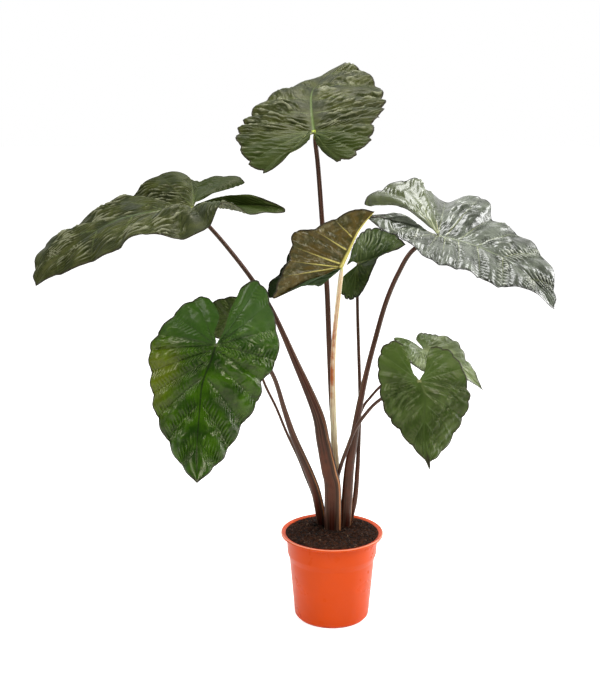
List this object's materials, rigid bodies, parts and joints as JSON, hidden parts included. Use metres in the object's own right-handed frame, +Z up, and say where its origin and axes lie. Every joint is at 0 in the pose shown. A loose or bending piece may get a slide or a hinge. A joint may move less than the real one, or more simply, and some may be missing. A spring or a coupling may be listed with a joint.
{
  "type": "potted alocasia",
  "caption": "Potted aroid house plant: heart-shaped waved leaves on tall clasping stalks, standing in soil in a round plastic nursery pot.",
  "frame": {"origin": "middle of the pot's flat foot, on the surface that it stands on", "axes": "+Z up, +X to the right and +Y to the back as seen in the picture"},
  "size_m": [1.0164, 0.5356, 1.1326],
  "materials": {
    "pot_plastic": "satin orange plastic",
    "soil": "matte loose damp peat and bark",
    "petiole_maroon": "smooth satin stalk, chocolate maroon",
    "petiole_yellow": "smooth satin stalk, cream yellow",
    "leaf_grey_green": "satin leaf, grey green",
    "leaf_silver_green": "glossy leaf, silver green",
    "leaf_gloss_green": "glossy leaf, deep green",
    "leaf_dark_green": "satin leaf, dark green",
    "leaf_pale_green": "satin leaf, light green",
    "leaf_bronze": "satin young leaf, bronze underneath"
  },
  "bodies": {
    "root": {"pot": "pot_plastic", "soil": "soil", "petiole_top": "petiole_maroon", "blade_top": "leaf_grey_green", "petiole_high_left": "petiole_maroon", "blade_high_left": "leaf_grey_green", "petiole_high_right": "petiole_maroon", "blade_high_right": "leaf_silver_green", "petiole_front_left": "petiole_maroon", "blade_front_left": "leaf_gloss_green", "petiole_back_left": "petiole_maroon", "blade_back_left": "leaf_dark_green", "petiole_front_right": "petiole_maroon", "blade_front_right": "leaf_dark_green", "petiole_back_right": "petiole_maroon", "blade_back_right": "leaf_pale_green", "petiole_young": "petiole_yellow", "blade_young": "leaf_bronze", "petiole_small_back": "petiole_maroon", "blade_small_back": "leaf_dark_green"}
  },
  "joints": []
}
